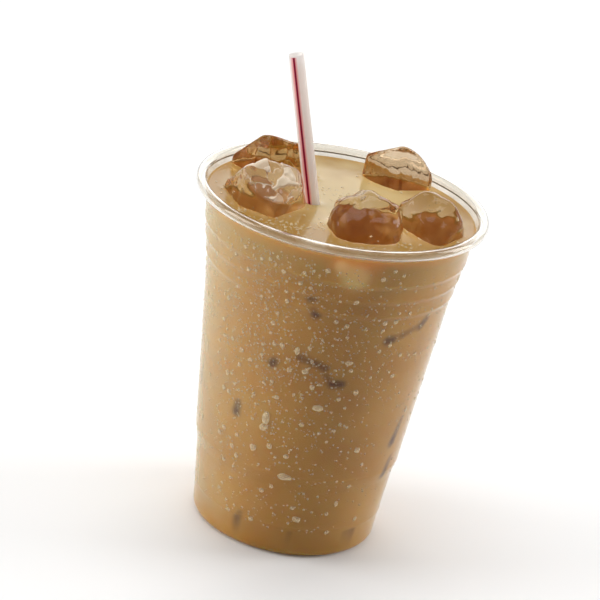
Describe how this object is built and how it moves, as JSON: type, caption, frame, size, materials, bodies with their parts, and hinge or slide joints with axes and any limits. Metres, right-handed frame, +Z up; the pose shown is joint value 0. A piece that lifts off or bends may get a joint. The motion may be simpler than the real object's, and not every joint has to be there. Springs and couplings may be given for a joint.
{
  "type": "iced coffee",
  "caption": "Iced milk coffee filled to the brim of a clear tapered takeaway cup with a rolled rim, with floating ice and a thin striped drinking straw leaning to the left.",
  "frame": {"origin": "bottom centre of the cup, on the surface it stands on", "axes": "+Z up along the cup's axis; -Y is the front; the straw's top leans towards -X"},
  "size_m": [0.098, 0.098, 0.1655],
  "materials": {
    "cup_clear": "clear, smooth and wet outside",
    "coffee": "opaque milky liquid, still surface",
    "straw": "translucent white with one thin dark red stripe",
    "ice": "wet, worn round"
  },
  "bodies": {
    "root": {"cup": "cup_clear", "coffee": "coffee", "straw": "straw", "ice_front_left": "ice", "ice_front_middle": "ice", "ice_right": "ice", "ice_back_left": "ice", "ice_back_right": "ice"}
  },
  "joints": []
}
